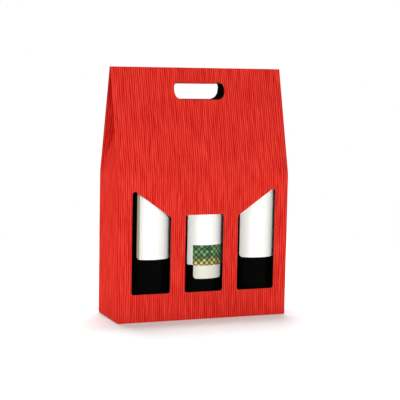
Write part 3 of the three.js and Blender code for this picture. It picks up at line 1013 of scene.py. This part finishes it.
def turned(name, profile, matrix, finish):
    """A body of revolution about z from a profile of (radius, height) that starts and ends on the axis."""
    places, faces, rings = [], [], []
    for radius, height in profile:
        if radius < SAME_POINT:
            rings.append([len(places)] * LATHE_SIDES)
            places.append(matrix @ Vector((0, 0, height)) * MM)
            continue
        rings.append([len(places) + i for i in range(LATHE_SIDES)])
        for i in range(LATHE_SIDES):
            angle = 2 * math.pi * i / LATHE_SIDES
            on_ring = Vector((radius * math.cos(angle), radius * math.sin(angle), height))
            places.append(matrix @ on_ring * MM)
    for lower, upper in zip(rings, rings[1:]):
        for i in range(LATHE_SIDES):
            j = (i + 1) % LATHE_SIDES
            faces.append(distinct([lower[i], lower[j], upper[j], upper[i]]))
    mesh = bpy.data.meshes.new(name)
    mesh.from_pydata(places, [], faces)
    mesh.materials.append(finish)
    mesh.shade_smooth()
    mesh.set_sharp_from_angle(angle=SHARP_TURN)
    return new_object(name, mesh)


def glass_profile():
    """Outside from the hollow base up to the mouth, then inside down to the floor."""
    inner = BOTTLE_RADIUS - GLASS_WALL
    floor = PUNT_HEIGHT + GLASS_WALL
    shoulder_curve = BOTTLE_SHOULDER + SHOULDER_REACH
    neck_curve = NECK_FOOT - NECK_REACH
    punt_side = PUNT_FULLNESS * PUNT_RADIUS
    profile = [(0, PUNT_HEIGHT)]
    profile += curve(
        (0, PUNT_HEIGHT),
        (punt_side, PUNT_HEIGHT),
        (punt_side, PUNT_HEIGHT / 3),
        (PUNT_RADIUS, 0),
        steps=12,
    )
    for step in range(HEEL_STEPS + 1):
        angle = QUARTER * (step / HEEL_STEPS - 1)
        heel = BOTTLE_RADIUS - HEEL_RADIUS + HEEL_RADIUS * math.cos(angle)
        profile.append((heel, HEEL_RADIUS * (1 + math.sin(angle))))
    profile += [(BOTTLE_RADIUS, height) for height in (*WALL_RINGS, BOTTLE_SHOULDER)]
    profile += curve(
        (BOTTLE_RADIUS, BOTTLE_SHOULDER),
        (BOTTLE_RADIUS, shoulder_curve),
        (NECK_RADIUS, neck_curve),
        (NECK_RADIUS, NECK_FOOT),
        steps=24,
    )
    profile += [(MOUTH_RADIUS, BOTTLE_HEIGHT), (BORE_RADIUS, BOTTLE_HEIGHT), (BORE_RADIUS, NECK_FOOT)]
    profile += curve(
        (BORE_RADIUS, NECK_FOOT),
        (BORE_RADIUS, neck_curve - GLASS_WALL),
        (inner, shoulder_curve - GLASS_WALL),
        (inner, BOTTLE_SHOULDER - GLASS_WALL),
        steps=16,
    )
    profile.append((inner, floor / 2))
    profile += curve(
        (inner, floor / 2),
        (inner, floor / 2),
        (PUNT_FULLNESS * inner, floor),
        (0, floor),
        steps=12,
    )
    return profile


def capsule_profile():
    """Inside from the ceiling down to the foot, then outside up to the crown."""
    taper = (NECK_RADIUS - MOUTH_RADIUS) / (BOTTLE_HEIGHT - NECK_FOOT)
    foot = NECK_RADIUS - taper * (CAPSULE_FOOT - NECK_FOOT) + CAPSULE_PLAY
    crown = MOUTH_RADIUS + CAPSULE_PLAY
    ceiling = BOTTLE_HEIGHT + CAPSULE_PLAY
    height = ceiling - CAPSULE_FOOT
    profile = [(0, ceiling), (crown, ceiling), (foot, CAPSULE_FOOT)]
    for share, bead in CAPSULE_BEADS:
        radius = foot + (crown - foot) * share + CAPSULE_WALL - CAPSULE_BEAD + CAPSULE_BEAD * bead
        profile.append((radius, CAPSULE_FOOT + height * share))
    top = ceiling + CAPSULE_WALL
    return profile + [
        (crown, top - CROWN_DROP),
        (crown - CROWN_BEVEL, top),
        (crown - CROWN_RIM, top),
        (crown - CROWN_DISH, top - CROWN_DISH_DEPTH),
        (0, top - CROWN_DISH_DEPTH),
    ]


def label_loop(low, high, tongue_top):
    """A label's flat outline about the middle of its width, with rounded corners."""
    half = LABEL_WRAP * BOTTLE_RADIUS / 2
    if tongue_top is None:
        foot = [(-half, low, LABEL_CORNER), (half, low, LABEL_CORNER)]
    else:
        tongue = TONGUE_WRAP * BOTTLE_RADIUS / 2
        foot = [
            (-half, tongue_top, TONGUE_CORNER),
            (-tongue, tongue_top, TONGUE_CORNER),
            (-tongue, low, LABEL_CORNER),
            (tongue, low, LABEL_CORNER),
            (tongue, tongue_top, TONGUE_CORNER),
            (half, tongue_top, TONGUE_CORNER),
        ]
    return rounded([*foot, (half, high, LABEL_CORNER), (-half, high, LABEL_CORNER)])


def bottle(name, turn, label_from, label_to, tongue_to):
    """A bottle with its label and capsule, and a finish for its cork."""
    x, y, foot = [value / MM for value in JOINTS[f"{name}_bottle_turn"]["pos_m"]]
    stand = Matrix.Translation((x, y, foot)) @ Matrix.Rotation(math.radians(turn), 4, "Z")
    pieces = [
        (turned(f"{name}_bottle", glass_profile(), stand, GLASS), "glass", "glass"),
        (turned(f"{name}_capsule", capsule_profile(), stand, FOIL), "capsule", "capsule"),
    ]
    on_glass = Matrix.Translation((x, y, 0)) @ Matrix.Rotation(math.radians(turn), 4, "Z")
    radius = BOTTLE_RADIUS + LABEL_LIFT + LABEL_PAPER

    def wrap(along, height, depth):
        angle = along / BOTTLE_RADIUS
        reach = radius + depth
        return on_glass @ Vector((reach * math.sin(angle), -reach * math.cos(angle), height))

    half = LABEL_WRAP * BOTTLE_RADIUS / 2
    count = math.ceil(half / LABEL_STEP)
    cuts = [((half * i / count, 0), (half * i / count, BOTTLE_HEIGHT)) for i in range(1 - count, count)]
    loop = label_loop(label_from, label_to, tongue_to)
    paper = sheet(f"{name}_label", [loop], cuts, wrap, PAPER_EDGE, (PAPERS[name],) * 3)
    pieces.append((paper, "label", "label"))
    for made, node, slot in pieces:
        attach(made, f"{name}_bottle")
        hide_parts(f"{name}_bottle_{node}")
    cork = frame["nodes"][f"{name}_bottle_cork"]
    cork.data.materials.clear()
    cork.data.materials.append(CORK)


front_holes = [*windows(), grip(0, SHOULDER, HINGE, GRIP_LOWER_CORNER)]
back_holes = [grip(0, SHOULDER, CUT, GRIP_LOWER_CORNER)]
long_panel("front", 0, cut_end=False, holes=front_holes, seed=1)
long_panel("back", math.pi, cut_end=True, holes=back_holes, seed=2)
side_panel("left", -QUARTER, back_crease=HALF_DEPTH, seed=3)
side_panel("right", QUARTER, back_crease=GLUE_CREASE, seed=4)
gusset_triangle("left_gusset_front", 0, side=-1, seed=5)
gusset_triangle("right_gusset_front", 0, side=1, seed=6)
gusset_triangle("right_gusset_back", math.pi, side=-1, seed=7)
gusset_triangle("left_gusset_back", math.pi, side=1, seed=9)
grip_tab()
base_flaps()
glue_flap()
insert()
for settings in BOTTLES:
    bottle(*settings)

# Camera, from the corners of the box in the photograph
CAMERA_PLACE = (-702.4, -1775.2, 390.0)
CAMERA_YAW = math.radians(21.863)
CAMERA_PITCH = math.radians(6.396)
CAMERA_ROLL = math.radians(1.144)
CAMERA_LENS = 113.0
SENSOR = 36.0
CAMERA_SIGHT = 50.0  # how far it sees, in metres

forward = Vector((
    math.sin(CAMERA_YAW) * math.cos(CAMERA_PITCH),
    math.cos(CAMERA_YAW) * math.cos(CAMERA_PITCH),
    -math.sin(CAMERA_PITCH),
))
level = Vector((math.cos(CAMERA_YAW), -math.sin(CAMERA_YAW), 0))
upright = level.cross(forward)
right = level * math.cos(CAMERA_ROLL) + upright * math.sin(CAMERA_ROLL)
above = upright * math.cos(CAMERA_ROLL) - level * math.sin(CAMERA_ROLL)
lens = bpy.data.cameras.new("camera")
lens.lens = CAMERA_LENS
lens.sensor_width = SENSOR
lens.clip_end = CAMERA_SIGHT
camera = new_object("camera", lens)
facing = Matrix((right, above, -forward)).transposed().to_4x4()
camera.matrix_world = Matrix.Translation(Vector(CAMERA_PLACE) * MM) @ facing
bpy.context.scene.camera = camera

# Floor, white to the eye and grey only in the shadow
FLOOR_HALF = 6.0  # in metres
FLOOR_NEAR = 0.45  # from here the floor turns to plain white
FLOOR_FAR = 0.9
FLOOR_LIFT = 0.14  # how much whiter than its lit paper the eye sees it


def white_to_the_eye(tree):
    """1 where the camera sees a surface, also in gloss and through glass; 0 where it only gives light."""
    path = add(tree, "LightPath").outputs
    shown = add(
        tree, "Math", {"operation": "MAXIMUM"}, {0: path["Is Glossy Ray"], 1: path["Is Transmission Ray"]}
    )
    return add(
        tree, "Math", {"operation": "MAXIMUM"}, {0: path["Is Camera Ray"], 1: shown.outputs[0]}
    ).outputs[0]


def studio_floor():
    # Seamless white paper: matt, and white to the camera wherever the carton's soft shadow doesn't fall.
    made, tree = new_material("white_floor_paper")
    seen = white_to_the_eye(tree)
    place = add(tree, "TexCoord").outputs["Object"]
    away = add(tree, "VectorMath", {"operation": "LENGTH"}, {0: place})
    far = add(
        tree,
        "MapRange",
        {"interpolation_type": "SMOOTHSTEP", "From Min": FLOOR_NEAR, "From Max": FLOOR_FAR},
        {"Value": away.outputs["Value"]},
    )
    paper = add(tree, "BsdfDiffuse", {"Color": linear("#e4e4e4")})
    lift = add(tree, "Math", {"operation": "MULTIPLY", 1: FLOOR_LIFT}, {0: seen})
    lifted = add(tree, "Emission", None, {"Strength": lift.outputs[0]})
    near = add(tree, "AddShader", None, {0: paper.outputs[0], 1: lifted.outputs[0]})
    white = add(tree, "Emission", {"Strength": 1.0})
    seen_far = add(tree, "Math", {"operation": "MULTIPLY"}, {0: far.outputs["Result"], 1: seen})
    mixed = add(tree, "MixShader", None, {0: seen_far.outputs[0], 1: near.outputs[0], 2: white.outputs[0]})
    return finished(made, mixed)


floor_mesh = bpy.data.meshes.new("floor")
floor_corners = [(x * FLOOR_HALF, y * FLOOR_HALF, 0) for x, y in ((-1, -1), (1, -1), (1, 1), (-1, 1))]
floor_mesh.from_pydata(floor_corners, [], [(0, 1, 2, 3)])
floor_mesh.materials.append(studio_floor())
floor = new_object("floor", floor_mesh)

# Studio light: a pale room, with soft boxes to the sides, in front and above
ROOM_LIGHT = 0.26  # the light that the room gives; the eye sees it white
SOFT_BOXES = (
    # name, place and aim in metres, size, watts
    ("left_box", (-2.0, -0.45, 0.42), (0, 0, 0.25), 0.8, 21),
    ("front_box", (-0.15, -2.3, 0.4), (0, 0, 0.2), 0.5, 25),
    ("right_box", (2.0, 0.2, 0.42), (0, 0, 0.25), 0.8, 16),
    ("top_box", (0.1, 0.6, 2.0), (0, 0, 0), 0.9, 50),
)

world = bpy.data.worlds.new("studio")
bpy.context.scene.world = world
world.use_nodes = True
sky = world.node_tree
sky.nodes.clear()
seen = white_to_the_eye(sky)
brightness = add(sky, "MapRange", {"To Min": ROOM_LIGHT, "To Max": 1.0}, {"Value": seen})
room = add(sky, "Background", {"Color": linear("#ffffff")}, {"Strength": brightness.outputs["Result"]})
add(sky, "OutputWorld", None, {"Surface": room.outputs[0]})

for name, place, aim, size, watts in SOFT_BOXES:
    lamp = bpy.data.lights.new(name, "AREA")
    lamp.shape = "SQUARE"
    lamp.size = size
    lamp.energy = watts
    box = new_object(name, lamp)
    box.location = place
    box.rotation_euler = (Vector(aim) - Vector(place)).to_track_quat("-Z", "Y").to_euler()

bpy.context.scene.view_settings.view_transform = "Standard"
